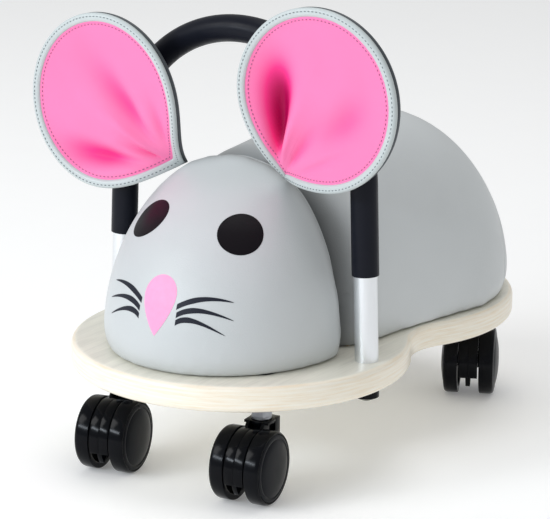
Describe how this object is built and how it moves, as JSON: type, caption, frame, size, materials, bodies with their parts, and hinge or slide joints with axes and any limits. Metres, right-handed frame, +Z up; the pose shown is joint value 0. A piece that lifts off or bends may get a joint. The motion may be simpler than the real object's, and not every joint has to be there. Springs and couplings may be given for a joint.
{
  "type": "padded ride-on mouse toy on swivel casters",
  "caption": "Toddler's ride-on toy shaped like a mouse: padded head, body and soft ears on a figure-eight board with an arched handle and swivel casters.",
  "frame": {"origin": "on the floor, below the middle of the object's plan", "axes": "+Z up; -Y is forwards, where the nose points; +X is the mouse's own left side"},
  "size_m": [0.2905, 0.384, 0.3285],
  "materials": {
    "birch_plywood": "clear lacquer over pale birch face veneer, layers showing on the edge",
    "inner_plywood": "raw plywood",
    "bright_steel": "bright plated",
    "zinc_steel": "zinc plated",
    "grip_rubber": "smooth soft foam grip, satin",
    "cap_plastic": "moulded gloss",
    "caster_black": "moulded gloss",
    "wheel_black": "moulded gloss",
    "grey_leatherette": "fine grain, satin",
    "ear_trim": "fine grain, satin, stitched",
    "ear_back_cloth": "brushed dark lining",
    "pink_satin": "smooth satin leatherette",
    "foam": "open foam"
  },
  "bodies": {
    "root": {"base_board": "birch_plywood", "handle_tube": "bright_steel", "handle_grip": "grip_rubber", "leg_inserts": "zinc_steel", "leg_washers": "zinc_steel", "leg_bolts": "zinc_steel", "leg_caps": "cap_plastic", "caster_tnuts": "zinc_steel", "plate_screws": "zinc_steel", "head_board": "inner_plywood", "head_foam": "foam", "head_cover": "grey_leatherette", "head_welt": "grey_leatherette", "body_board": "inner_plywood", "body_foam": "foam", "body_cover": "grey_leatherette", "body_welt": "grey_leatherette", "ear_left_front": "pink_satin", "ear_left_rim": "ear_trim", "ear_left_pad": "foam", "ear_left_back": "ear_back_cloth", "ear_right_front": "pink_satin", "ear_right_rim": "ear_trim", "ear_right_pad": "foam", "ear_right_back": "ear_back_cloth", "front_left_stem": "bright_steel", "front_left_locknut": "zinc_steel", "front_right_stem": "bright_steel", "front_right_locknut": "zinc_steel", "rear_left_stem": "bright_steel", "rear_left_locknut": "zinc_steel", "rear_right_stem": "bright_steel", "rear_right_locknut": "zinc_steel"},
    "front_left_caster": {"front_left_housing": "caster_black", "front_left_axle": "zinc_steel"},
    "front_left_roller_a": {"front_left_wheel_a": "wheel_black", "front_left_cap_a": "wheel_black"},
    "front_left_roller_b": {"front_left_wheel_b": "wheel_black", "front_left_cap_b": "wheel_black"},
    "front_right_caster": {"front_right_housing": "caster_black", "front_right_axle": "zinc_steel"},
    "front_right_roller_a": {"front_right_wheel_a": "wheel_black", "front_right_cap_a": "wheel_black"},
    "front_right_roller_b": {"front_right_wheel_b": "wheel_black", "front_right_cap_b": "wheel_black"},
    "rear_left_caster": {"rear_left_housing": "caster_black", "rear_left_axle": "zinc_steel"},
    "rear_left_roller_a": {"rear_left_wheel_a": "wheel_black", "rear_left_cap_a": "wheel_black"},
    "rear_left_roller_b": {"rear_left_wheel_b": "wheel_black", "rear_left_cap_b": "wheel_black"},
    "rear_right_caster": {"rear_right_housing": "caster_black", "rear_right_axle": "zinc_steel"},
    "rear_right_roller_a": {"rear_right_wheel_a": "wheel_black", "rear_right_cap_a": "wheel_black"},
    "rear_right_roller_b": {"rear_right_wheel_b": "wheel_black", "rear_right_cap_b": "wheel_black"}
  },
  "joints": [
    {"name": "front_left_swivel", "type": "hinge", "parent": "root", "child": "front_left_caster", "pos_m": [0.056, -0.134, 0.06], "axis": [0, 0, 1], "continuous": true},
    {"name": "front_left_roll_a", "type": "hinge", "parent": "front_left_caster", "child": "front_left_roller_a", "pos_m": [0.05819, -0.15187, 0.025], "axis": [0.9925, 0.1219, 0], "continuous": true},
    {"name": "front_left_roll_b", "type": "hinge", "parent": "front_left_caster", "child": "front_left_roller_b", "pos_m": [0.05819, -0.15187, 0.025], "axis": [0.9925, 0.1219, 0], "continuous": true},
    {"name": "front_right_swivel", "type": "hinge", "parent": "root", "child": "front_right_caster", "pos_m": [-0.056, -0.134, 0.06], "axis": [0, 0, 1], "continuous": true},
    {"name": "front_right_roll_a", "type": "hinge", "parent": "front_right_caster", "child": "front_right_roller_a", "pos_m": [-0.05287, -0.15173, 0.025], "axis": [0.9848, 0.1736, 0], "continuous": true},
    {"name": "front_right_roll_b", "type": "hinge", "parent": "front_right_caster", "child": "front_right_roller_b", "pos_m": [-0.05287, -0.15173, 0.025], "axis": [0.9848, 0.1736, 0], "continuous": true},
    {"name": "rear_left_swivel", "type": "hinge", "parent": "root", "child": "rear_left_caster", "pos_m": [0.058, 0.148, 0.06], "axis": [0, 0, 1], "continuous": true},
    {"name": "rear_left_roll_a", "type": "hinge", "parent": "rear_left_caster", "child": "rear_left_roller_a", "pos_m": [0.06561, 0.13169, 0.025], "axis": [0.9063, 0.4226, 0], "continuous": true},
    {"name": "rear_left_roll_b", "type": "hinge", "parent": "rear_left_caster", "child": "rear_left_roller_b", "pos_m": [0.06561, 0.13169, 0.025], "axis": [0.9063, 0.4226, 0], "continuous": true},
    {"name": "rear_right_swivel", "type": "hinge", "parent": "root", "child": "rear_right_caster", "pos_m": [-0.058, 0.148, 0.06], "axis": [0, 0, 1], "continuous": true},
    {"name": "rear_right_roll_a", "type": "hinge", "parent": "rear_right_caster", "child": "rear_right_roller_a", "pos_m": [-0.05334, 0.13061, 0.025], "axis": [0.9659, 0.2588, 0], "continuous": true},
    {"name": "rear_right_roll_b", "type": "hinge", "parent": "rear_right_caster", "child": "rear_right_roller_b", "pos_m": [-0.05334, 0.13061, 0.025], "axis": [0.9659, 0.2588, 0], "continuous": true}
  ]
}
